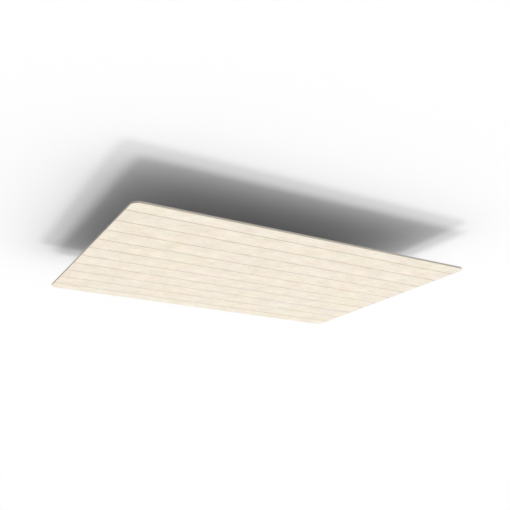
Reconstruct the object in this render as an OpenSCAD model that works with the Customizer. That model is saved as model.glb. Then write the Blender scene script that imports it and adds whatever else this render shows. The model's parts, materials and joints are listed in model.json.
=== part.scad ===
// Suspended acoustic ceiling raft: one grooved felt board with threaded hanger plates on its back.
// Origin: centre of the face that looks down into the room. X runs along the grooves, Z points up.

/* [Board] */
// Length of the board, along the grooves
board_l = 2400; // [2050:50:3000]
// Width of the board, across the grooves
board_w = 1800; // [1600:50:2400]
// Thickness of the board
board_t = 12; // [9:1:24]
// Radius of the four corners seen from below
corner_r = 50; // [10:5:200]

/* [Grooves] */
// Number of V grooves in the face
groove_count = 10; // [2:1:10]
// Distance from one groove to the next
groove_pitch = 172; // [80:1:190]
// Width of a groove at the face
groove_w = 6; // [3:0.5:8]
// Depth of a groove
groove_d = 3; // [1:0.5:5]

/* [Hanger grid] */
// Hangers along the board
hang_nx = 4; // [2:1:4]
// Rows of hangers across the board
hang_ny = 3; // [2:1:3]
// Distance between hangers along the board
hang_px = 640; // [300:10:700]
// Groove pitches between rows of hangers, so that each row sits behind a flat strip
hang_py_grooves = 4; // [2:1:4]

/* [Hanger plate] */
// Outer diameter of the pressed plate
plate_d = 70; // [66:1:90]
// Sheet thickness of the plate
plate_t = 1.5; // [1:0.1:1.8]
// Height of the turned-up rim above the board
plate_rim_h = 3.5; // [3:0.5:6]
// Height that the centre is raised clear of the board
dome_h = 4; // [3:0.5:6]
// Diameter of the flat top of the raised centre, underneath
dome_top_d = 22; // [18:1:26]
// Diameter of the foot of the raised centre, underneath
dome_base_d = 32; // [28:1:36]
// Inner radius of the press bends
bend_r = 1; // [0.5:0.25:1.25]
// Bolt circle of the four screw holes
screw_pcd = 51; // [48:1:56]
// Diameter of the screw holes in the plate
screw_hole_d = 4.2; // [3.8:0.1:5]

/* [Hanger boss] */
// Width across the flats of the hexagon
boss_af = 14; // [12:1:17]
// Height of the hexagon
boss_hex_h = 4.5; // [3:0.5:8]
// Diameter of the round neck above the hexagon
boss_neck_d = 11.5; // [10:0.5:12]
// Height of the round neck
boss_neck_h = 5; // [3:0.5:12]
// Diameter of the spigot that passes through the plate
boss_spigot_d = 9; // [8:0.5:10]
// Diameter of the swaged ring under the plate
boss_swage_d = 12; // [11:0.5:14]
// Thickness of the swaged ring
boss_swage_h = 1.2; // [0.8:0.1:2]
// Wall diameter of the M6 threaded hole, at the crests of its thread
boss_bore_d = 5; // [5:0.1:5.2]
// Depth of the chamfer at each mouth of the threaded hole
boss_bore_ease = 0.7; // [0.3:0.1:1]

/* [Screws] */
// Number of screws in each plate
screw_n = 4; // [3:1:4]
// Diameter of the pan head
screw_head_d = 7; // [6:0.5:8]
// Height of the pan head
screw_head_h = 2.3; // [2:0.1:3]
// Diameter of the threaded shank
screw_d = 3.5; // [3:0.1:4]
// Radius of the rounded crown of the head
screw_crown_r = 1.5; // [0.5:0.25:1.75]
// Length of the screw under its head
screw_l = 9.5; // [8:0.5:10]
// Length of the point
screw_point = 2.5; // [2:0.5:3]
// Width across the arms of the cross recess
recess_l = 4.2; // [3:0.1:4.6]
// Width of one arm of the cross recess
recess_w = 1.1; // [0.8:0.1:1.4]
// Depth of the cross recess
recess_h = 1.4; // [1:0.1:1.6]

/* [Hidden] */
$fn = 96;
// Segments round a corner of the board, and round a screw and its holes
CORNER_FN = 192;
SCREW_FN = 32;
// Segments in each rounded corner of a turned or pressed section
ARC_STEPS = 4;
// How far a cutter runs out past what it cuts
CUT = 1;
// Radial gap of the spigot in its plate, and of the screw shanks in the board
SPIGOT_GAP = 0.05;
SHANK_GAP = 0.05;
// Turn of the first screw from the X axis
SCREW_TURN = 45;
HANG_PY = hang_py_grooves * groove_pitch;
HANGERS = hang_nx * hang_ny;
BORE_L = boss_swage_h + plate_t + boss_hex_h + boss_neck_h;
DOME_SLOPE = atan2(dome_h, (dome_base_d - dome_top_d) / 2);
SKIN_SHIFT = plate_t * tan(DOME_SLOPE / 2);
SCREW_DEPTH = screw_l - plate_t;

plate_names = [for (i = [1:HANGERS]) str("hanger_plate_", i)];
boss_names = [for (i = [1:HANGERS]) str("hanger_boss_", i)];

// Place of hanger i, counted along X and then along Y
function hanger_at(i) = [
    (i % hang_nx - (hang_nx - 1) / 2) * hang_px,
    (floor(i / hang_nx) - (hang_ny - 1) / 2) * HANG_PY,
    board_t
];

// Place of groove i across the board
function groove_y(i) = (i - (groove_count - 1) / 2) * groove_pitch;

function unit(v) = v / norm(v);

// Points of the arc that rounds the corner at q, between its neighbours p and s
function corner_arc(p, q, s, radius) =
    let (
        a = unit(p - q),
        b = unit(s - q),
        half = acos(a * b) / 2,
        centre = q + unit(a + b) * radius / sin(half),
        from = q + a * radius / tan(half) - centre,
        to = q + b * radius / tan(half) - centre,
        turn = atan2(cross(from, to), from * to)
    )
    [for (k = [0:ARC_STEPS])
        let (t = turn * k / ARC_STEPS)
            centre + [from.x * cos(t) - from.y * sin(t), from.x * sin(t) + from.y * cos(t)]];

// Outline with its corners rounded: each corner is [x, y, radius], and radius 0 keeps it sharp
function rounded(corners) =
    let (n = len(corners))
    [for (i = [0:n - 1])
        let (
            q = [corners[i].x, corners[i].y],
            p = [corners[(i + n - 1) % n].x, corners[(i + n - 1) % n].y],
            s = [corners[(i + 1) % n].x, corners[(i + 1) % n].y],
            arc = corners[i].z == 0 ? [q] : corner_arc(p, q, s, corners[i].z)
        )
        each arc];

// Puts a copy of the children at every screw of every plate, on the back of the board
module at_each_screw() {
    for (i = [0:HANGERS - 1])
        translate(hanger_at(i))
            at_plate_screws() children();
}

// Puts a copy of the children at every screw of one plate
module at_plate_screws() {
    for (k = [0:screw_n - 1])
        rotate(SCREW_TURN + k * 360 / screw_n)
            translate([screw_pcd / 2, 0, 0])
                children();
}

// Outline of the board, two crossed rectangles and four corner discs
module board_outline() {
    square([board_l - 2 * corner_r, board_w], center = true);
    square([board_l, board_w - 2 * corner_r], center = true);
    for (sx = [-1, 1], sy = [-1, 1])
        translate([sx * (board_l / 2 - corner_r), sy * (board_w / 2 - corner_r)])
            circle(r = corner_r, $fn = CORNER_FN);
}

// V cutter for one groove, longer than the board and running out past the face
module groove_cutter() {
    half = groove_w / 2;
    spread = half * CUT / groove_d;
    translate([-board_l / 2 - CUT, 0, 0])
        rotate([90, 0, 90])
            linear_extrude(board_l + 2 * CUT)
                polygon([[-half - spread, -CUT], [half + spread, -CUT], [0, groove_d]]);
}

module board() {
    color([0.95, 0.92, 0.85])
        difference() {
            linear_extrude(board_t) board_outline();
            for (i = [0:groove_count - 1])
                translate([0, groove_y(i), 0]) groove_cutter();
            at_each_screw()
                translate([0, 0, -SCREW_DEPTH])
                    cylinder(d = screw_d + 2 * SHANK_GAP, h = SCREW_DEPTH + CUT, $fn = SCREW_FN);
        }
}

// Section of the pressed plate: raised centre, flat ring and turned-up rim, one sheet thick all over
module plate_section() {
    hole_r = boss_spigot_d / 2 + SPIGOT_GAP;
    top_r = dome_top_d / 2;
    base_r = dome_base_d / 2;
    rim_r = plate_d / 2;
    wide_r = bend_r + plate_t;
    deburr_r = plate_t / 4;
    polygon(rounded([
        [hole_r, dome_h, 0],
        [top_r, dome_h, bend_r],
        [base_r, 0, wide_r],
        [rim_r, 0, wide_r],
        [rim_r, plate_rim_h, deburr_r],
        [rim_r - plate_t, plate_rim_h, deburr_r],
        [rim_r - plate_t, plate_t, bend_r],
        [base_r + SKIN_SHIFT, plate_t, bend_r],
        [top_r + SKIN_SHIFT, dome_h + plate_t, wide_r],
        [hole_r, dome_h + plate_t, 0]
    ]));
}

module hanger_plate() {
    color([0.78, 0.79, 0.80])
        difference() {
            rotate_extrude() plate_section();
            at_plate_screws()
                translate([0, 0, -CUT])
                    cylinder(d = screw_hole_d, h = plate_t + 2 * CUT, $fn = SCREW_FN);
        }
}

// Section of the part of the boss that is turned round: swaged ring, spigot and neck
module boss_section() {
    spigot_r = boss_spigot_d / 2;
    neck_r = boss_neck_d / 2;
    bore_r = boss_bore_d / 2;
    polygon([
        [bore_r + boss_bore_ease, 0],
        [boss_swage_d / 2 - boss_bore_ease, 0],
        [boss_swage_d / 2, boss_bore_ease],
        [boss_swage_d / 2, boss_swage_h],
        [spigot_r, boss_swage_h],
        [spigot_r, boss_swage_h + plate_t],
        [neck_r, boss_swage_h + plate_t],
        [neck_r, BORE_L - boss_bore_ease],
        [neck_r - boss_bore_ease, BORE_L],
        [bore_r + boss_bore_ease, BORE_L],
        [bore_r, BORE_L - boss_bore_ease],
        [bore_r, boss_bore_ease]
    ]);
}

// Hexagon with its corners turned down at both ends
module boss_hexagon() {
    corner = boss_af / cos(30) / 2;
    turned = (corner - boss_af / 2) * tan(30);
    difference() {
        intersection() {
            cylinder(r = corner, h = boss_hex_h, $fn = 6);
            rotate_extrude()
                polygon([
                    [0, 0],
                    [boss_af / 2, 0],
                    [corner, turned],
                    [corner, boss_hex_h - turned],
                    [boss_af / 2, boss_hex_h],
                    [0, boss_hex_h]
                ]);
        }
        translate([0, 0, -CUT])
            cylinder(d = boss_bore_d, h = boss_hex_h + 2 * CUT);
    }
}

module hanger_boss() {
    color([0.70, 0.71, 0.73])
        translate([0, 0, dome_h - boss_swage_h]) {
            rotate_extrude() boss_section();
            translate([0, 0, boss_swage_h + plate_t]) boss_hexagon();
        }
}

// Section of a pan head screw, measured up from the plate
module screw_section() {
    head_r = screw_head_d / 2;
    shank_r = screw_d / 2;
    tip_r = shank_r / 6;
    foot_r = screw_crown_r / 4;
    polygon(rounded([
        [0, -screw_l, 0],
        [tip_r, -screw_l, 0],
        [shank_r, screw_point - screw_l, 0],
        [shank_r, 0, 0],
        [head_r, 0, foot_r],
        [head_r, screw_head_h, screw_crown_r],
        [0, screw_head_h, 0]
    ]));
}

// Pan head screw with a cross recess, its head seated on the plate
module plate_screw() {
    translate([0, 0, plate_t])
        difference() {
            rotate_extrude($fn = SCREW_FN) screw_section();
            translate([0, 0, screw_head_h])
                for (turn = [0, 90])
                    rotate(turn) cube([recess_l, recess_w, 2 * recess_h], center = true);
        }
}

module plate_screws() {
    color([0.60, 0.61, 0.63])
        at_each_screw() plate_screw();
}

board();
for (i = [0:HANGERS - 1]) {
    translate(hanger_at(i)) hanger_plate();
    translate(hanger_at(i)) hanger_boss();
}
plate_screws();
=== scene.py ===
import json
import math

import bpy
from bpy.props import FloatProperty, FloatVectorProperty, IntProperty, PointerProperty
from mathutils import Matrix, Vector


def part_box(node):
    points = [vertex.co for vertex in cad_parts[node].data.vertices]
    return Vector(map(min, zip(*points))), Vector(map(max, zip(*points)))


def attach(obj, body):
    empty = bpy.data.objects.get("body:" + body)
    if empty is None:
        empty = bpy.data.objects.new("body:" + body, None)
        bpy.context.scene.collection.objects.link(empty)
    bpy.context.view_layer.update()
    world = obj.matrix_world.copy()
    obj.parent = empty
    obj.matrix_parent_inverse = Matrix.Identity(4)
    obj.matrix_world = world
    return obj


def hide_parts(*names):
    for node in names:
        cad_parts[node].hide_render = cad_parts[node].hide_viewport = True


bl_info = {
    "name": "Ceiling Panel",
    "version": (1, 0, 0),
    "blender": (4, 5, 0),
    "location": "View3D > Sidebar > Ceiling Panel",
    "description": "Grooved felt board with a printed birch face, its hangers and the ceiling above it",
    "category": "Object",
}

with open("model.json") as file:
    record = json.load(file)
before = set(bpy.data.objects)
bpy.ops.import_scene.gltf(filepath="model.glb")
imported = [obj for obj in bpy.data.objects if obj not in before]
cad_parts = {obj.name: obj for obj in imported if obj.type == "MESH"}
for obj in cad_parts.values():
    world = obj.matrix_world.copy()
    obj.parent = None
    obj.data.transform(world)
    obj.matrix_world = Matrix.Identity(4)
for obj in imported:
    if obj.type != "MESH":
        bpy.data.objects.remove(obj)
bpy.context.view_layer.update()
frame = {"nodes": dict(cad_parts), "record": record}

BODY = "root"
MM = 0.001
TAU = 2 * math.pi
WHITE = (1, 1, 1)

# Attribute that keeps the place of a point from before its shape is repeated
OWN_PLACE = "own_place"

# Mean of abs(z) over the directions of even light, each weighted by what it adds on a flat face
FLAT_MEAN = 2 / 3

# Pieces and places from the frame

PLATES = sorted(name for name in frame["nodes"] if name.startswith("hanger_plate_"))
BOSSES = sorted(name for name in frame["nodes"] if name.startswith("hanger_boss_"))
HANG_POINTS = [
    Vector(mount["pos_m"])
    for mount in frame["record"]["mounts"]
    if mount["kind"] == "threaded_hole"
]
COLUMNS = len({round(point.x, 4) for point in HANG_POINTS})
ROWS = len({round(point.y, 4) for point in HANG_POINTS})
SPACING_X = 2 * max(point.x for point in HANG_POINTS) / (COLUMNS - 1)
SPACING_Y = 2 * max(point.y for point in HANG_POINTS) / (ROWS - 1)
HANGER_GRID = {"Columns": COLUMNS, "Rows": ROWS, "Spacing X": SPACING_X, "Spacing Y": SPACING_Y}

BOSS_LOW, BOSS_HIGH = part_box(BOSSES[0])
SCREWS_LOW, SCREWS_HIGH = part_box("plate_screws")


def linear(red, green, blue):
    """Linear colour of three sRGB levels from 0 to 255."""
    levels = [level / 255 for level in (red, green, blue)]
    return tuple(v / 12.92 if v <= 0.04045 else ((v + 0.055) / 1.055) ** 2.4 for v in levels)


def opaque(tint):
    """Colour with a full alpha, as colour sockets take it."""
    return (*tint, 1.0)


# Kinds of settings


def distance(name, description, default):
    """Property that holds a length in metres."""
    kind = {"min": 0, "precision": 5, "subtype": "DISTANCE", "unit": "LENGTH"}
    return FloatProperty(name=name, description=description, default=default, **kind)


def angle(name, description, degrees):
    """Property that holds an angle."""
    kind = {"default": math.radians(degrees), "subtype": "ANGLE", "unit": "ROTATION"}
    return FloatProperty(name=name, description=description, **kind)


def share(name, description, default):
    """Property that holds a share from 0 to 1."""
    kind = {"min": 0, "max": 1, "subtype": "FACTOR"}
    return FloatProperty(name=name, description=description, default=default, **kind)


def lamp_strength(name, description, default):
    """Property that holds the strength of a lamp."""
    return FloatProperty(name=name, description=description, default=default, min=0)


def colour(name, description, default):
    """Property that holds a linear colour."""
    kind = {"min": 0, "max": 1, "subtype": "COLOR"}
    return FloatVectorProperty(name=name, description=description, default=default, **kind)


def channels(name, description, default):
    """Property that holds a share for each of red, green and blue."""
    return FloatVectorProperty(name=name, description=description, default=default, min=0)


# Settings of the pieces and of the stage


class BoardSettings(bpy.types.PropertyGroup):
    """Finish of the felt board and of the birch printed on its face."""

    birch: colour("Birch", "Mean colour of the print", linear(240.7, 230, 212.6))
    figure: channels("Figure", "How much red, green and blue follow the figure of the wood", (0.77, 1, 1.13))
    tinge: channels("Tinge", "How much red, green and blue wander on their own", (0.18, 0, 0.23))
    cloud_share: share("Clouds", "How much the soft patches change the lightness of the print", 0.68)
    band_share: share("Bands", "How much the growth bands change its lightness", 0.17)
    line_share: share("Lines", "How much the fine lines change its lightness", 0.07)
    pore_share: share("Pores", "How much the pores darken it", 0.10)
    print_roughness: share("Print roughness", "Roughness of the printed face", 0.75)
    core: colour("Felt core", "Colour of the felt on its back, edges and groove walls", (0.635, 0.597, 0.525))
    soaked: colour("Soaked felt", "Colour of the felt where the ink has soaked in", (0.58, 0.518, 0.415))
    felt_roughness: share("Felt roughness", "Roughness of the bare felt", 0.92)
    soak: distance("Soak", "How deep the ink has soaked into the felt behind the face", 4.5 * MM)
    strip: distance("Strip", "Distance from one groove to the next", 172 * MM)
    cloud: distance("Cloud", "Size of the soft patches of the print", 160 * MM)
    fibre: distance("Fibre", "Length of a felt fibre", 9 * MM)


class PlateSettings(bpy.types.PropertyGroup):
    """Finish of the pressed hanger plates."""

    zinc: colour("Zinc", "Colour of the zinc plating", (0.70, 0.71, 0.72))
    film: colour("Film", "Colour of the zinc where its clear film is thicker", (0.72, 0.70, 0.66))
    roughness: share("Roughness", "Roughness of the pressed sheet", 0.38)


class BossSettings(bpy.types.PropertyGroup):
    """Sizes and finish of the threaded hanger bosses."""

    steel: colour("Steel", "Colour of the turned, plated steel", (0.64, 0.64, 0.65))
    roughness: share("Roughness", "Roughness of the turned steel", 0.32)
    swage_d: distance("Swage", "Diameter of the swaged ring under the plate", 12 * MM)
    swage_h: distance("Swage height", "Thickness of the swaged ring", 1.2 * MM)
    spigot_d: distance("Spigot", "Diameter of the spigot in the plate", 9 * MM)
    sheet: distance("Sheet", "Thickness of the plate round the spigot", 1.5 * MM)
    flats: distance("Flats", "Width across the flats of the hexagon", BOSS_HIGH.y - BOSS_LOW.y)
    hexagon_h: distance("Hexagon height", "Height of the hexagon", 4.5 * MM)
    neck_d: distance("Neck", "Diameter of the round neck", 11.5 * MM)
    length: distance("Length", "Length of the boss and its thread", BOSS_HIGH.z - BOSS_LOW.z)
    ease: distance("Ease", "Depth of the chamfers", 0.7 * MM)
    minor_d: distance("Minor diameter", "Diameter of the thread at its crests", 5 * MM)
    major_d: distance("Major diameter", "Diameter of the thread at its roots", 6 * MM)
    pitch: distance("Pitch", "Pitch of the M6 thread", 1 * MM)


class ScrewSettings(bpy.types.PropertyGroup):
    """Sizes and finish of the screws that hold the plates."""

    steel: colour("Steel", "Colour of the plated screws", (0.60, 0.60, 0.61))
    roughness: share("Roughness", "Roughness of the plated screws", 0.28)
    count: IntProperty(name="Count", description="Screws in each plate", default=4, min=1)
    circle: distance("Circle", "Diameter of the circle that the screws stand on", 51 * MM)
    circle_turn: angle("Circle turn", "Turn of the first screw round the plate, from the X axis", 45)
    head_d: distance("Head", "Diameter of the pan head", 7 * MM)
    head_h: distance("Head height", "Height of the pan head", 2.3 * MM)
    crown: distance("Crown", "Radius of the rounded crown", 1.5 * MM)
    recess_l: distance("Recess", "Width across the arms of the cross recess", 4.2 * MM)
    recess_w: distance("Recess arm", "Width of one arm of the cross recess", 1.1 * MM)
    recess_h: distance("Recess depth", "Depth of the cross recess", 1.4 * MM)
    shank_d: distance("Shank", "Diameter of the screw over its thread", 3.5 * MM)
    root_d: distance("Root", "Diameter of the screw at the foot of its thread", 2.5 * MM)
    pitch: distance("Pitch", "Pitch of the screw thread", 1.35 * MM)
    point: distance("Point", "Length of the point", 2.5 * MM)
    seed: IntProperty(name="Seed", description="Seed of the way each screw is turned", default=7)


class StageSettings(bpy.types.PropertyGroup):
    """The ceiling, the light and the camera."""

    gap: distance("Ceiling height", "Height of the ceiling above the face of the panel", 0.25)
    reach: distance("Ceiling reach", "Half the width of the ceiling", 40)
    bounce: colour("Bounce", "Colour of the ceiling in light from the panel's back", (0.358, 0.379, 0.424))
    sky_below: share("Light from below", "Light from the room below, at its middle", 0.66)
    sky_slope: share("Slope", "How much more light comes from one side of the room than its middle", 0.737)
    sky_turn: angle("Slope turn", "Direction of the lighter side of the room round Z, from the X axis", 25.1)
    sky_rise: share("Rise", "How much more light comes from the horizon than from straight below", 0.81)
    sky_above: share("Light from above", "Light on the back of the panel", 0.68)
    sky_lean: share("Lean", "How much more light comes from above on the +X side than straight down", 0.25)
    steep: lamp_strength("Steep lamp", "Strength of the lamp that shines almost straight up", 0.638)
    steep_tilt: angle("Steep lamp tilt", "Tilt of its light from straight up", 14.1)
    steep_turn: angle("Steep lamp turn", "Direction of the lamp round Z, from the X axis", 75)
    steep_size: angle("Steep lamp size", "Angle that the lamp fills, seen from the panel", 25.3)
    low: lamp_strength("Low lamp", "Strength of the lamp that shines across the room", 0.671)
    low_tilt: angle("Low lamp tilt", "Tilt of its light from straight up", 46.6)
    low_turn: angle("Low lamp turn", "Direction of the lamp round Z, from the X axis", 54.5)
    low_size: angle("Low lamp size", "Angle that the lamp fills, seen from the panel", 11.7)
    rim: lamp_strength("Top lamp", "Strength of the lamp on the back", 1.05)
    rim_tilt: angle("Top lamp tilt", "Tilt of the top lamp from straight down", 38)
    rim_turn: angle("Top lamp turn", "Direction of the top lamp round Z, from the X axis", 60)
    rim_size: angle("Top lamp size", "Angle that the top lamp fills, seen from the panel", 25)
    eye: FloatVectorProperty(
        name="Camera",
        description="Place of the camera",
        default=(-2.3281, -4.2924, -1.5385),
        subtype="TRANSLATION",
        unit="LENGTH",
    )
    eye_tilt: angle("Camera tilt", "Tilt of the camera above the horizon", 19.363)
    eye_turn: angle("Camera turn", "Turn of the camera round Z, from looking along Y", -28.919)
    lens: FloatProperty(
        name="Lens",
        description="Focal length on a 36 mm sensor",
        default=50.404,
        min=1,
        unit="CAMERA",
    )


# Node trees


class Number:
    """A number in a node tree. Arithmetic on it adds Math nodes."""

    def __init__(self, graph, socket):
        self.graph = graph
        self.socket = socket

    def __add__(self, other):
        return self.graph.math("ADD", self, other)

    def __sub__(self, other):
        return self.graph.math("SUBTRACT", self, other)

    def __rsub__(self, other):
        return self.graph.math("SUBTRACT", other, self)

    def __mul__(self, other):
        return self.graph.math("MULTIPLY", self, other)

    def __truediv__(self, other):
        return self.graph.math("DIVIDE", self, other)

    def __rtruediv__(self, other):
        return self.graph.math("DIVIDE", other, self)

    def __mod__(self, other):
        return self.graph.math("FLOORED_MODULO", self, other)

    def __lt__(self, other):
        return self.graph.math("LESS_THAN", self, other)

    def __gt__(self, other):
        return self.graph.math("GREATER_THAN", self, other)

    def __abs__(self):
        return self.graph.math("ABSOLUTE", self)

    __radd__ = __add__
    __rmul__ = __mul__


class Graph:
    """Adds nodes to one tree, of a material, the world or Geometry Nodes."""

    def __init__(self, tree):
        self.tree = tree
        self.tree.nodes.clear()

    def node(self, kind, settings=None, inputs=None):
        """Adds a node: its settings first, then the values or links of its sockets."""
        made = self.tree.nodes.new(kind)
        for name, value in (settings or {}).items():
            setattr(made, name, value)
        for name, value in (inputs or {}).items():
            self.feed(made.inputs[name], value)
        return made

    def feed(self, socket, value):
        """Links an input to a number or a socket, or sets it to a plain value."""
        if isinstance(value, Number):
            value = value.socket
        if isinstance(value, bpy.types.NodeSocket):
            self.tree.links.new(value, socket)
        else:
            socket.default_value = value

    def number(self, kind, output, settings=None, inputs=None):
        """Adds a node and gives one of its outputs as a number."""
        return Number(self, self.node(kind, settings, inputs).outputs[output])

    def math(self, operation, *values):
        """Result of a Math node."""
        return self.number("ShaderNodeMath", "Value", {"operation": operation}, dict(enumerate(values)))

    def limit(self, value, low, high):
        """The value where it lies between low and high, and the nearer of the two elsewhere."""
        return self.math("MINIMUM", self.math("MAXIMUM", value, low), high)

    def split(self, vector):
        """The three numbers of a vector."""
        made = self.node("ShaderNodeSeparateXYZ", inputs={"Vector": vector})
        return [Number(self, socket) for socket in made.outputs]

    def join(self, x, y, z):
        """Vector of three numbers."""
        return self.node("ShaderNodeCombineXYZ", inputs={"X": x, "Y": y, "Z": z}).outputs["Vector"]

    def vector(self, operation, first, second):
        """Result of a Vector Math node on two vectors."""
        made = self.node("ShaderNodeVectorMath", {"operation": operation}, {0: first, 1: second})
        return made.outputs["Vector"]

    def ramp(self, value, low, high):
        """0 where value is low, 1 where it is high, and smooth between."""
        made = {"Value": value, "From Min": low, "From Max": high}
        return self.number("ShaderNodeMapRange", "Result", {"interpolation_type": "SMOOTHSTEP"}, made)


class Shader(Graph):
    """Graph of a material."""

    def __init__(self, name):
        self.material = bpy.data.materials.new(name)
        self.material.use_nodes = True
        super().__init__(self.material.node_tree)

    def place(self):
        """Object coordinates, which are metres in the frame of the part."""
        return self.node("ShaderNodeTexCoord").outputs["Object"]

    def patches(self, place, size, detail, roughness):
        """Noise texture with patches of one size, or of three sizes along X, Y and Z."""
        sides = size if isinstance(size, tuple) else (size, size, size)
        scaled = self.vector("MULTIPLY", place, [1 / side for side in sides])
        values = {"Vector": scaled, "Scale": 1.0, "Detail": detail, "Roughness": roughness}
        return self.node("ShaderNodeTexNoise", {"noise_dimensions": "3D"}, values)

    def noise(self, place, size, detail=2.0, roughness=0.5):
        """Cloudy number that wanders round 0, by less than 0.5 either way."""
        return Number(self, self.patches(place, size, detail, roughness).outputs["Fac"]) - 0.5

    def noise_vector(self, place, size, detail=2.0, roughness=0.5):
        """Vector of three such numbers, each of which wanders on its own."""
        made = self.patches(place, size, detail, roughness)
        return self.vector("SUBTRACT", made.outputs["Color"], (0.5, 0.5, 0.5))

    def drift(self, place, size, reach):
        """Place moved by up to half of reach, so that straight lines through it bend."""
        return self.vector("ADD", place, self.scale(self.noise_vector(place, size), reach))

    def mix(self, factor, first, second):
        """First colour where factor is 0, second where it is 1."""
        # Several sockets of this node share a name, so those of its colours go by number
        made = self.node("ShaderNodeMix", {"data_type": "RGBA"}, {0: factor, 6: first, 7: second})
        return made.outputs[2]

    def scale(self, vector, amount):
        """Vector or colour times a number."""
        made = self.node("ShaderNodeVectorMath", {"operation": "SCALE"}, {0: vector, "Scale": amount})
        return made.outputs["Vector"]

    def bump(self, height, depth, amount):
        """Normal of a surface with this height times depth in metres, at an amount from 0 to 1."""
        made = self.node("ShaderNodeBump", inputs={"Height": height, "Distance": depth, "Strength": amount})
        return made.outputs["Normal"]

    def finish(self, sockets):
        """Feeds the Principled BSDF and gives the finished material."""
        surface = self.node("ShaderNodeBsdfPrincipled", inputs=sockets)
        self.node("ShaderNodeOutputMaterial", inputs={"Surface": surface.outputs["BSDF"]})
        return self.material


class Maker(Graph):
    """Graph of a Geometry Nodes tree with named sizes."""

    # Points nearer than this become one, and edges that bend less than this are smooth
    MERGE = 0.001 * MM
    SMOOTH = math.radians(32)

    def __init__(self, name, sizes):
        super().__init__(bpy.data.node_groups.new(name, "GeometryNodeTree"))
        self.sizes = sizes
        for size, value in sizes.items():
            kind = "NodeSocketInt" if isinstance(value, int) else "NodeSocketFloat"
            self.tree.interface.new_socket(name=size, in_out="INPUT", socket_type=kind)
        self.tree.interface.new_socket(name="Geometry", in_out="OUTPUT", socket_type="NodeSocketGeometry")
        self.group = self.node("NodeGroupInput")

    def size(self, name):
        """One of the named sizes."""
        return Number(self, self.group.outputs[name])

    def here(self):
        """Place of each point."""
        return self.node("GeometryNodeInputPosition").outputs["Position"]

    def pick(self, index, values):
        """The value that stands at this index of a list."""
        made = self.node("GeometryNodeIndexSwitch", {"data_type": "FLOAT"}, {"Index": index})
        for _ in values[2:]:
            made.index_switch_items.new()
        for socket, value in zip(made.inputs[1:], values):
            self.feed(socket, value)
        return Number(self, made.outputs[0])

    def choose(self, test, yes, no):
        """One number where test is 1, another where it is 0."""
        values = {"Switch": test, "False": no, "True": yes}
        return self.number("GeometryNodeSwitch", "Output", {"input_type": "FLOAT"}, values)

    def turn(self, columns):
        """Angle round Z of each point of a sheet with this many columns."""
        along = self.split(self.here())[1]
        return self.math("ROUND", along + columns / 2) * (TAU / columns)

    def sheet(self, stations, columns):
        """Grid to wrap round Z, and the station of each of its points along the section."""
        sides = {"Size X": stations - 1, "Size Y": columns}
        counts = {"Vertices X": stations, "Vertices Y": columns + 1}
        grid = self.node("GeometryNodeMeshGrid", inputs={**sides, **counts}).outputs["Mesh"]
        across = self.split(self.here())[0]
        return grid, self.math("ROUND", across + (stations - 1) / 2)

    def helix(self, row, turn, steps):
        """Step of each row within its pitch, and its depth along the thread."""
        depth = (row / steps - turn / TAU) * self.size("Pitch")
        return row % steps, self.limit(depth, 0.0, self.size("Length"))

    def lathe(self, grid, station, turn, outline, radius, height):
        """Wraps the grid round Z, by the outline's corners first and then by radius and height."""
        past = station > len(outline) - 0.5
        radius = self.choose(past, radius, self.pick(station, [r for r, _ in outline]))
        height = self.choose(past, height, self.pick(station, [h for _, h in outline]))
        x = radius * self.math("COSINE", turn)
        y = radius * self.math("SINE", turn)
        placed = {"Geometry": grid, "Position": self.join(x, y, height)}
        shape = self.node("GeometryNodeSetPosition", inputs=placed).outputs["Geometry"]
        merged = {"Geometry": shape, "Distance": self.MERGE}
        shape = self.node("GeometryNodeMergeByDistance", inputs=merged).outputs["Geometry"]
        bend = self.number("GeometryNodeInputMeshEdgeAngle", "Unsigned Angle")
        smooth = {"Geometry": shape, "Shade Smooth": bend < self.SMOOTH}
        shape = self.node("GeometryNodeSetShadeSmooth", {"domain": "EDGE"}, smooth)
        return self.keep_place(shape.outputs["Geometry"])

    def keep_place(self, shape):
        """Stores each point's place before the shape is repeated."""
        kind = {"data_type": "FLOAT_VECTOR", "domain": "POINT"}
        values = {"Geometry": shape, "Name": OWN_PLACE, "Value": self.here()}
        return self.node("GeometryNodeStoreNamedAttribute", kind, values).outputs["Geometry"]

    def repeat(self, points, shape, turn):
        """Puts the shape on every point, turned round Z."""
        values = {"Points": points, "Instance": shape, "Rotation": self.join(0.0, 0.0, turn)}
        return self.node("GeometryNodeInstanceOnPoints", inputs=values).outputs["Instances"]

    def hanger_grid(self, height):
        """Points of the hangers, at this height."""
        columns = self.size("Columns")
        rows = self.size("Rows")
        values = {
            "Size X": (columns - 1) * self.size("Spacing X"),
            "Size Y": (rows - 1) * self.size("Spacing Y"),
            "Vertices X": columns,
            "Vertices Y": rows,
        }
        grid = self.node("GeometryNodeMeshGrid", inputs=values).outputs["Mesh"]
        raised = {"Geometry": grid, "Offset": self.join(0.0, 0.0, height)}
        return self.node("GeometryNodeSetPosition", inputs=raised).outputs["Geometry"]

    def real(self, instances):
        """Instances as a mesh of their own."""
        made = self.node("GeometryNodeRealizeInstances", inputs={"Geometry": instances})
        return made.outputs["Geometry"]

    def make(self, name, instances, material):
        """Ends the tree and gives its result as a plain object."""
        solid = {"Geometry": self.real(instances), "Material": material}
        painted = self.node("GeometryNodeSetMaterial", inputs=solid).outputs["Geometry"]
        self.node("NodeGroupOutput", inputs={"Geometry": painted})
        piece = bpy.data.objects.new(name, bpy.data.meshes.new(name + "_start"))
        bpy.context.scene.collection.objects.link(piece)
        modifier = piece.modifiers.new(name, "NODES")
        modifier.node_group = self.tree
        for item in self.tree.interface.items_tree:
            if item.in_out == "INPUT":
                modifier[item.identifier] = self.sizes[item.name]
        mesh = self.result(piece)
        piece.modifiers.remove(modifier)
        mesh.name = name
        piece.data = mesh
        return piece

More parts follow.
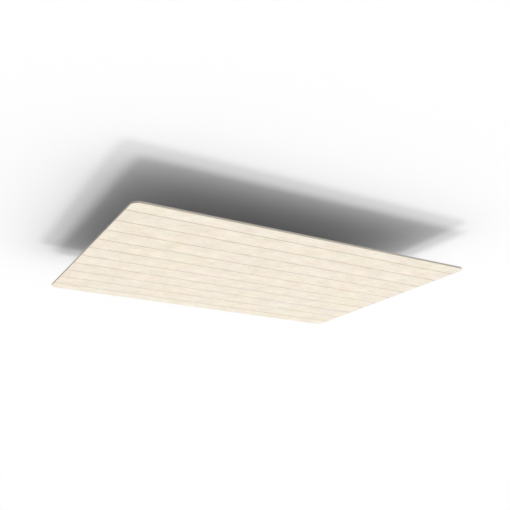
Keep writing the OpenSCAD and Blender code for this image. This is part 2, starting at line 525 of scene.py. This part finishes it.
    def result(self, piece):
        """Mesh that the modifier makes, without the empty material slot of its grid."""
        depsgraph = bpy.context.evaluated_depsgraph_get()
        evaluated = piece.evaluated_get(depsgraph)
        mesh = bpy.data.meshes.new_from_object(evaluated, preserve_all_data_layers=True, depsgraph=depsgraph)
        mesh.materials.pop(index=0)
        return mesh


def thread_rows(turns, steps):
    """Rows of points that a thread takes. Each row rises by one pitch on its way round Z."""
    return math.ceil((turns + 1) * steps) + 1


# Finishes


def dress(names, material):
    """Puts a material on CAD nodes."""
    for name in names:
        for slot in frame["nodes"][name].material_slots:
            slot.material = material


def birch_print(shader, place, settings):
    """Colour of the birch print: soft clouds, a drifting hue, wavy growth bands and short pores."""
    cloud = settings.cloud
    # So large through the board that the figure is the same at every depth of the print
    through = 1.0
    wave_size = (260 * MM, 90 * MM, through)
    wave_reach = 30 * MM
    band_size = (420 * MM, 6 * MM, through)
    line_size = (70 * MM, 0.8 * MM, through)
    pore_size = (6 * MM, 0.3 * MM, through)
    # Noise below the first of these has no pores, and above the second they are at their darkest
    pore_levels = (0.10, 0.22)
    # How far the figure moves from one strip to the next, along it and through it
    step_along = 3.7
    step_through = 1.3
    x, y, z = shader.split(place)
    strip = shader.math("ROUND", y / settings.strip)
    wave = shader.noise(place, wave_size) * wave_reach
    bent = shader.join(x + strip * step_along, y + wave, z + strip * step_through)
    clouds = shader.noise(place, (cloud, 0.8 * cloud, cloud), detail=6.0, roughness=0.85)
    hue = shader.noise_vector(place, (1.6 * cloud, 1.2 * cloud, cloud), detail=4.0, roughness=0.7)
    bands = shader.noise(bent, band_size, detail=4.0, roughness=0.65)
    lines = shader.noise(bent, line_size)
    pores = shader.ramp(shader.noise(bent, pore_size, detail=1.0), *pore_levels)
    wood = clouds * settings.cloud_share + bands * settings.band_share
    wood = wood + lines * settings.line_share - pores * settings.pore_share
    tone = shader.vector("ADD", WHITE, shader.scale(settings.figure, wood))
    wander = shader.vector("ADD", WHITE, shader.vector("MULTIPLY", hue, settings.tinge))
    return shader.vector("MULTIPLY", shader.vector("MULTIPLY", settings.birch, wander), tone)


def felt_core(shader, place, settings):
    """Colour and height of pressed felt: soft clouds, thin layers and bent fibres that cross."""
    length = settings.fibre
    fibre_size = (length, 0.05 * length, 0.1 * length)
    fibre_bend = 0.7 * length
    fibre_width = 0.03
    fibre_turns = (0.2, 0.9, 1.4, 2.1, 2.7)
    # Height of the fibres at which they leave the colour of the felt as it is
    fibre_level = 0.6
    clouds = shader.noise(place, (45 * MM, 45 * MM, 20 * MM), detail=3.0, roughness=0.6)
    mottle = shader.noise(place, (3 * MM, 3 * MM, 1.2 * MM), roughness=0.6)
    layers = shader.noise(place, (30 * MM, 30 * MM, 0.5 * MM))
    bent = shader.drift(place, length, fibre_bend)
    fibres = 0.0
    for turn in fibre_turns:
        # Each direction is also moved, so that its fibres are its own
        moved = {"Vector": bent, "Rotation": (0, 0, turn), "Location": (9 * turn, 5 * turn, 0)}
        turned = shader.node("ShaderNodeMapping", {"vector_type": "POINT"}, moved).outputs["Vector"]
        fibre = shader.ramp(abs(shader.noise(turned, fibre_size, detail=1.0)), fibre_width, 0.0)
        fibres = shader.math("MAXIMUM", fibres, fibre)
    soaked = shader.ramp(shader.split(place)[2], settings.soak, settings.soak / 2)
    tint = shader.mix(soaked, opaque(settings.core), opaque(settings.soaked))
    tone = 1 + clouds * 0.16 + mottle * 0.22 + layers * 0.16 + (fibres - fibre_level) * 0.10
    height = (mottle + 0.5 + fibres) / 2
    return shader.scale(tint, tone), height


def felt_board(settings):
    """Felt board with birch printed on the face. The grooves are cut through the print."""
    print_depth = 0.05 * MM
    nap_depth = 0.25 * MM
    # How much of the nap is pressed flat under the print
    pressed = 0.75
    shader = Shader("felt_board")
    place = shader.place()
    printed = shader.split(place)[2] < print_depth
    birch = birch_print(shader, place, settings)
    core, nap = felt_core(shader, place, settings)
    smoother = settings.felt_roughness - settings.print_roughness
    return shader.finish({
        "Base Color": shader.mix(printed, core, birch),
        "Roughness": settings.felt_roughness - printed * smoother,
        "Specular IOR Level": 0.25,
        "Sheen Weight": 0.05,
        "Sheen Roughness": 0.5,
        "Normal": shader.bump(nap * (1 - printed * pressed), nap_depth, 0.6),
    })


def rolled_place(shader, place):
    """Place from the middle of the nearest hanger, turned a different way for each."""
    # Turn from each column of hangers to the next, and from each row to the next
    column_turn = 1.9
    row_turn = 2.7
    x, y, z = shader.split(place)
    across = x + (COLUMNS % 2) * SPACING_X / 2
    along = y + (ROWS % 2) * SPACING_Y / 2
    column = shader.math("FLOOR", across / SPACING_X)
    row = shader.math("FLOOR", along / SPACING_Y)
    turn = column * column_turn + row * row_turn
    across = across % SPACING_X - SPACING_X / 2
    along = along % SPACING_Y - SPACING_Y / 2
    sine = shader.math("SINE", turn)
    cosine = shader.math("COSINE", turn)
    return shader.join(across * cosine + along * sine, along * cosine - across * sine, z)


def pressed_steel(settings):
    """Zinc-plated sheet with a cloudy clear film, fine rolling lines and a few light scratches."""
    line_size = (25 * MM, 0.12 * MM, 25 * MM)
    scratch_size = (9 * MM, 1.6 * MM, 9 * MM)
    scratch_width = 0.006
    relief_depth = 0.03 * MM
    # Levels of noise between which the film grows to its full colour, and the scratches appear
    film_levels = (-0.2, 0.2)
    worn_levels = (0.0, 0.15)
    shader = Shader("pressed_steel")
    place = rolled_place(shader, shader.place())
    film = shader.noise(place, 14 * MM, detail=3.0, roughness=0.6)
    dull = shader.noise(place, 2 * MM, detail=4.0, roughness=0.6)
    lines = shader.noise(place, line_size, roughness=0.6)
    bent = shader.drift(place, 20 * MM, 6 * MM)
    worn = shader.ramp(shader.noise(place, 7 * MM, detail=1.0), *worn_levels)
    scratch = worn * shader.ramp(abs(shader.noise(bent, scratch_size, detail=1.0)), scratch_width, 0.0)
    tint = shader.mix(shader.ramp(film, *film_levels), opaque(settings.zinc), opaque(settings.film))
    return shader.finish({
        "Base Color": shader.scale(tint, 0.94 + lines * 0.25 + scratch * 0.10),
        "Metallic": 1.0,
        "Roughness": settings.roughness + dull * 0.25 + film * 0.2 - scratch * 0.12,
        "Normal": shader.bump(lines * 0.5 + dull * 0.3 + scratch * 0.2, relief_depth, 0.5),
    })


def turned_steel(name, settings):
    """Zinc-plated steel with the fine rings that turning leaves."""
    ring_size = (0.18 * MM, 1.0, 0.18 * MM)
    ring_depth = 0.02 * MM
    shader = Shader(name)
    place = shader.node("ShaderNodeAttribute", {"attribute_name": OWN_PLACE}).outputs["Vector"]
    x, y, z = shader.split(place)
    radius = shader.math("SQRT", x * x + y * y)
    rings = shader.noise(shader.join(radius, 0.0, z), ring_size, detail=1.0)
    film = shader.noise(shader.place(), 6 * MM)
    return shader.finish({
        "Base Color": shader.scale(settings.steel, 1 + film * 0.2),
        "Metallic": 1.0,
        "Roughness": settings.roughness + rings * 0.2,
        "Normal": shader.bump(rings, ring_depth, 0.5),
    })


# The ceiling, the light and the camera


def ceiling_paint(bounce):
    """White paint, seen only from below. It lets the first light from the panel's back through."""
    shader = Shader("ceiling_paint")
    # Depth counts the times that a ray was thrown back before it met the ceiling
    depth = shader.number("ShaderNodeLightPath", "Ray Depth")
    reflected = depth > 0.5
    first = reflected * (depth < 1.5)
    tint = shader.mix(reflected, opaque(WHITE), opaque(bounce))
    behind = shader.number("ShaderNodeNewGeometry", "Backfacing")
    paint = shader.node("ShaderNodeBsdfDiffuse", inputs={"Color": tint}).outputs["BSDF"]
    clear = shader.node("ShaderNodeBsdfTransparent").outputs["BSDF"]
    open_to_light = shader.math("MAXIMUM", first, behind)
    surface = shader.node("ShaderNodeMixShader", inputs={0: open_to_light, 1: paint, 2: clear})
    shader.node("ShaderNodeOutputMaterial", inputs={"Surface": surface.outputs["Shader"]})
    return shader.material


def set_world(settings):
    """Light from below, stronger on one side and towards the horizon, and light from above.

    The background is white where it is seen, also in gloss.
    """
    world = bpy.data.worlds.new("room_light")
    world.use_nodes = True
    bpy.context.scene.world = world
    graph = Graph(world.node_tree)
    path = graph.node("ShaderNodeLightPath")
    seen = Number(graph, path.outputs["Is Camera Ray"])
    for ray in ("Is Glossy Ray", "Is Transmission Ray"):
        seen = graph.math("MAXIMUM", seen, Number(graph, path.outputs[ray]))
    x, y, z = graph.split(graph.node("ShaderNodeTexCoord").outputs["Generated"])
    lean = x * math.cos(settings.sky_turn) + y * math.sin(settings.sky_turn)
    rise = FLAT_MEAN - abs(z)
    below = settings.sky_below + settings.sky_slope * lean + settings.sky_rise * rise
    below = graph.math("MAXIMUM", below, 0.0)
    above = settings.sky_above + settings.sky_lean * x
    light = below + (z > 0.0) * (above - below)
    shown = seen + (1 - seen) * light
    background = graph.node("ShaderNodeBackground", inputs={"Color": opaque(WHITE), "Strength": shown})
    graph.node("ShaderNodeOutputWorld", inputs={"Surface": background.outputs["Background"]})


def add_lamp(name, strength, tilt, turn, size, side):
    """Sun lamp whose light comes from below, side -1, or from above, side 1."""
    lamp = bpy.data.lights.new(name, "SUN")
    lamp.energy = strength
    lamp.angle = size
    piece = bpy.data.objects.new(name, lamp)
    across = math.sin(tilt)
    source = Vector((across * math.cos(turn), across * math.sin(turn), side * math.cos(tilt)))
    piece.rotation_euler = source.to_track_quat("Z", "Y").to_euler()
    bpy.context.scene.collection.objects.link(piece)


def add_ceiling(settings):
    """One flat face that looks down."""
    reach = settings.reach
    corners = [(-reach, -reach), (-reach, reach), (reach, reach), (reach, -reach)]
    mesh = bpy.data.meshes.new("ceiling")
    mesh.from_pydata([(x, y, settings.gap) for x, y in corners], [], [(0, 1, 2, 3)])
    mesh.materials.append(ceiling_paint(settings.bounce))
    ceiling = bpy.data.objects.new("ceiling", mesh)
    bpy.context.scene.collection.objects.link(ceiling)


def add_camera(settings):
    """Camera at eye height that looks up at the panel."""
    camera = bpy.data.cameras.new("camera")
    camera.lens = settings.lens
    # Well past the far corners of the ceiling
    camera.clip_end = 5 * settings.reach
    piece = bpy.data.objects.new("camera", camera)
    piece.location = settings.eye
    piece.rotation_euler = (math.pi / 2 + settings.eye_tilt, 0, settings.eye_turn)
    bpy.context.scene.collection.objects.link(piece)
    bpy.context.scene.camera = piece


# One operator for each piece or group, and one for the stage


class CEILING_PANEL_OT_board(bpy.types.Operator):
    """Finish the felt board with its printed birch face"""

    bl_idname = "ceiling_panel.board"
    bl_label = "Finish Board"

    def execute(self, context):
        dress(["board"], felt_board(context.scene.panel_board))
        return {"FINISHED"}


class CEILING_PANEL_OT_hanger_plates(bpy.types.Operator):
    """Finish the pressed hanger plates in zinc-plated steel"""

    bl_idname = "ceiling_panel.hanger_plates"
    bl_label = "Finish Hanger Plates"

    def execute(self, context):
        dress(PLATES, pressed_steel(context.scene.panel_plates))
        return {"FINISHED"}


class CEILING_PANEL_OT_hanger_bosses(bpy.types.Operator):
    """Make the turned hanger bosses with their M6 thread"""

    bl_idname = "ceiling_panel.hanger_bosses"
    bl_label = "Make Hanger Bosses"

    # Points round the boss, and rows of points in one pitch of its thread
    SEGMENTS = 48
    STEPS = 6

    def execute(self, context):
        settings = context.scene.panel_bosses
        sizes = {
            **HANGER_GRID,
            "Base": BOSS_LOW.z,
            "Swage Radius": settings.swage_d / 2,
            "Swage Height": settings.swage_h,
            "Spigot Radius": settings.spigot_d / 2,
            "Sheet": settings.sheet,
            "Flat Radius": settings.flats / 2,
            "Hexagon Height": settings.hexagon_h,
            "Neck Radius": settings.neck_d / 2,
            "Length": settings.length,
            "Ease": settings.ease,
            "Crest Radius": settings.minor_d / 2,
            "Root Radius": settings.major_d / 2,
            "Pitch": settings.pitch,
        }
        maker = Maker("hanger_bosses", sizes)
        boss = self.boss(maker, thread_rows(settings.length / settings.pitch, self.STEPS))
        bosses = maker.repeat(maker.hanger_grid(maker.size("Base")), boss, 0.0)
        piece = maker.make("hanger_bosses", bosses, turned_steel("turned_steel", settings))
        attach(piece, BODY)
        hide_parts(*BOSSES)
        return {"FINISHED"}

    def boss(self, maker, rows):
        """Section of the boss, wrapped round Z, up its outside and down its threaded bore.

        A section in this order has its faces turned inward, so they are flipped at the end.
        """
        swage = maker.size("Swage Radius")
        spigot = maker.size("Spigot Radius")
        flat = maker.size("Flat Radius")
        neck = maker.size("Neck Radius")
        crest = maker.size("Crest Radius")
        root = maker.size("Root Radius")
        ease = maker.size("Ease")
        length = maker.size("Length")
        mouth = crest + ease
        under = maker.size("Swage Height")
        seat = under + maker.size("Sheet")
        top = seat + maker.size("Hexagon Height")
        turn = maker.turn(self.SEGMENTS)
        # Half the angle that a side of the hexagon fills, and the angle from the nearest corner
        half_side = TAU / 12
        off_corner = abs((turn + half_side) % (2 * half_side) - half_side)
        hexagon = flat / maker.math("COSINE", half_side - off_corner)
        turned_down = (hexagon - flat) * math.tan(half_side)
        outline = [
            (mouth, 0.0),
            (swage - ease, 0.0),
            (swage, ease),
            (swage, under),
            (spigot, under),
            (spigot, seat),
            (flat, seat),
            (hexagon, seat + turned_down),
            (hexagon, top - turned_down),
            (flat, top),
            (neck, top),
            (neck, length - ease),
            (neck - ease, length),
            (mouth, length),
        ]
        grid, station = maker.sheet(len(outline) + rows, self.SEGMENTS)
        step, depth = maker.helix(station - len(outline), turn, self.STEPS)
        inside = length - depth
        # Steps 0 and 1 of a pitch are its crest, 3 and 4 its root, and 2 and 5 lie on its flanks
        rise = maker.limit((abs(step - (self.STEPS + 1) / 2) - 0.5) / 2, 0.0, 1.0)
        thread = root - rise * (root - crest)
        near_end = maker.math("MINIMUM", inside, length - inside)
        bore = maker.math("MAXIMUM", thread, mouth - near_end)
        shape = maker.lathe(grid, station, turn, outline, bore, inside)
        return maker.node("GeometryNodeFlipFaces", inputs={"Mesh": shape}).outputs["Mesh"]


class CEILING_PANEL_OT_plate_screws(bpy.types.Operator):
    """Make the pan head screws that hold the hanger plates"""

    bl_idname = "ceiling_panel.plate_screws"
    bl_label = "Make Plate Screws"

    # Points round the screw, rows of points in one pitch, and steps of each rounded edge
    SEGMENTS = 24
    STEPS = 4
    ARC = 4

    # Arms of the recess at its floor, as shares of those at its brim
    FLOOR_LENGTH = 0.55
    FLOOR_WIDTH = 0.8

    # Least sine that a width is divided by, for angles close to the middle of an arm
    LEAST_SINE = 0.01

    def execute(self, context):
        settings = context.scene.panel_screws
        length = SCREWS_HIGH.z - settings.head_h - SCREWS_LOW.z
        sizes = {
            **HANGER_GRID,
            "Seat": SCREWS_HIGH.z - settings.head_h,
            "Count": settings.count,
            "Circle": settings.circle,
            "Circle Turn": settings.circle_turn,
            "Head Radius": settings.head_d / 2,
            "Head Height": settings.head_h,
            "Crown": settings.crown,
            "Recess": settings.recess_l,
            "Recess Arm": settings.recess_w,
            "Recess Depth": settings.recess_h,
            "Shank Radius": settings.shank_d / 2,
            "Root Radius": settings.root_d / 2,
            "Pitch": settings.pitch,
            "Point": settings.point,
            "Length": length,
            "Seed": settings.seed,
        }
        maker = Maker("plate_screws", sizes)
        screw = self.screw(maker, thread_rows(length / settings.pitch, self.STEPS))
        screws = maker.repeat(self.places(maker), screw, self.random_turn(maker))
        piece = maker.make("plate_screws_set", screws, turned_steel("screw_steel", settings))
        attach(piece, BODY)
        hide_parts("plate_screws")
        return {"FINISHED"}

    def places(self, maker):
        """Points of the screws, in a ring round each hanger."""
        circle = {"Vertices": maker.size("Count"), "Radius": maker.size("Circle") / 2}
        ring = maker.node("GeometryNodeMeshCircle", inputs=circle).outputs["Mesh"]
        hangers = maker.hanger_grid(maker.size("Seat"))
        return maker.real(maker.repeat(hangers, ring, maker.size("Circle Turn")))

    def random_turn(self, maker):
        """Turn of each screw, up to a full one."""
        # Several sockets of this node share a name, so its maximum and its result go by number
        values = {3: TAU, "Seed": maker.size("Seed")}
        return maker.number("FunctionNodeRandomValue", 1, {"data_type": "FLOAT"}, values)

    def cross(self, maker, turn, length, width):
        """Radius of a cross at an angle, with this length and width of its arms."""
        quarter = TAU / 4
        off_arm = abs((turn + quarter / 2) % quarter - quarter / 2)
        end = length / 2 / maker.math("COSINE", off_arm)
        flank = width / 2 / maker.math("MAXIMUM", maker.math("SINE", off_arm), self.LEAST_SINE)
        return maker.math("MINIMUM", end, flank)

    def screw(self, maker, rows):
        """Section of the screw, wrapped round Z, from its recess down to its point."""
        head = maker.size("Head Radius")
        top = maker.size("Head Height")
        crown = maker.size("Crown")
        foot = crown / 4
        recess = maker.size("Recess")
        arm = maker.size("Recess Arm")
        floor_height = top - maker.size("Recess Depth")
        shank = maker.size("Shank Radius")
        root = maker.size("Root Radius")
        turn = maker.turn(self.SEGMENTS)
        brim = self.cross(maker, turn, recess, arm)
        floor = self.cross(maker, turn, recess * self.FLOOR_LENGTH, arm * self.FLOOR_WIDTH)
        # The brim lies on the flat top, and drops where it reaches over the rounded crown
        over = maker.math("MAXIMUM", brim - (head - crown), 0.0)
        brim_height = top - crown + maker.math("SQRT", crown * crown - over * over)
        # A rounded edge starts half a step in, because it is tangent to the face before it
        arcs = [TAU / 4 * (step + 0.5) / (self.ARC + 0.5) for step in range(self.ARC + 1)]
        outline = [
            (0.0, floor_height),
            (floor, floor_height),
            (brim, brim_height),
            *((head - crown + crown * math.sin(a), top - crown + crown * math.cos(a)) for a in arcs),
            *((head - foot + foot * math.cos(a), foot - foot * math.sin(a)) for a in arcs),
            (shank, 0.0),
        ]
        grid, station = maker.sheet(len(outline) + rows, self.SEGMENTS)
        step, below = maker.helix(station - len(outline), turn, self.STEPS)
        crest = maker.math("MAXIMUM", 1 - abs(step), 0.0)
        thread = root + crest * (shank - root)
        taper = (maker.size("Length") - below) / maker.size("Point") * shank
        body = maker.math("MINIMUM", thread, taper)
        return maker.lathe(grid, station, turn, outline, body, 0 - below)


class CEILING_PANEL_OT_stage(bpy.types.Operator):
    """Set up the ceiling, the light and the camera"""

    bl_idname = "ceiling_panel.stage"
    bl_label = "Set Stage"

    def execute(self, context):
        settings = context.scene.panel_stage
        context.scene.view_settings.view_transform = "Standard"
        set_world(settings)
        # The settings of a lamp all begin with its name
        for name, side in (("steep", -1), ("low", -1), ("rim", 1)):
            values = [getattr(settings, name + part) for part in ("", "_tilt", "_turn", "_size")]
            add_lamp(name + "_lamp", *values, side)
        add_ceiling(settings)
        add_camera(settings)
        return {"FINISHED"}


OPERATORS = (
    CEILING_PANEL_OT_board,
    CEILING_PANEL_OT_hanger_plates,
    CEILING_PANEL_OT_hanger_bosses,
    CEILING_PANEL_OT_plate_screws,
    CEILING_PANEL_OT_stage,
)
SETTINGS = {
    "panel_board": BoardSettings,
    "panel_plates": PlateSettings,
    "panel_bosses": BossSettings,
    "panel_screws": ScrewSettings,
    "panel_stage": StageSettings,
}


class CEILING_PANEL_PT_sidebar(bpy.types.Panel):
    """Lists the steps that dress the ceiling panel"""

    bl_idname = "CEILING_PANEL_PT_sidebar"
    bl_label = "Ceiling Panel"
    bl_space_type = "VIEW_3D"
    bl_region_type = "UI"
    bl_category = "Ceiling Panel"

    def draw(self, context):
        for operator, name in zip(OPERATORS, SETTINGS):
            box = self.layout.box()
            box.operator(operator.bl_idname)
            group = getattr(context.scene, name)
            for setting in group.bl_rna.properties:
                if not setting.is_readonly and setting.identifier != "name":
                    box.prop(group, setting.identifier)


def register():
    """Adds the settings, the operators and the panel to Blender."""
    for name, group in SETTINGS.items():
        bpy.utils.register_class(group)
        setattr(bpy.types.Scene, name, PointerProperty(type=group))
    for made in (*OPERATORS, CEILING_PANEL_PT_sidebar):
        bpy.utils.register_class(made)


def unregister():
    """Takes them away again."""
    for made in (CEILING_PANEL_PT_sidebar, *reversed(OPERATORS)):
        bpy.utils.unregister_class(made)
    for name, group in SETTINGS.items():
        delattr(bpy.types.Scene, name)
        bpy.utils.unregister_class(group)


def main():
    """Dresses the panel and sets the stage."""
    register()
    bpy.ops.ceiling_panel.board()
    bpy.ops.ceiling_panel.hanger_plates()
    bpy.ops.ceiling_panel.hanger_bosses()
    bpy.ops.ceiling_panel.plate_screws()
    bpy.ops.ceiling_panel.stage()


if __name__ == "__main__":
    main()
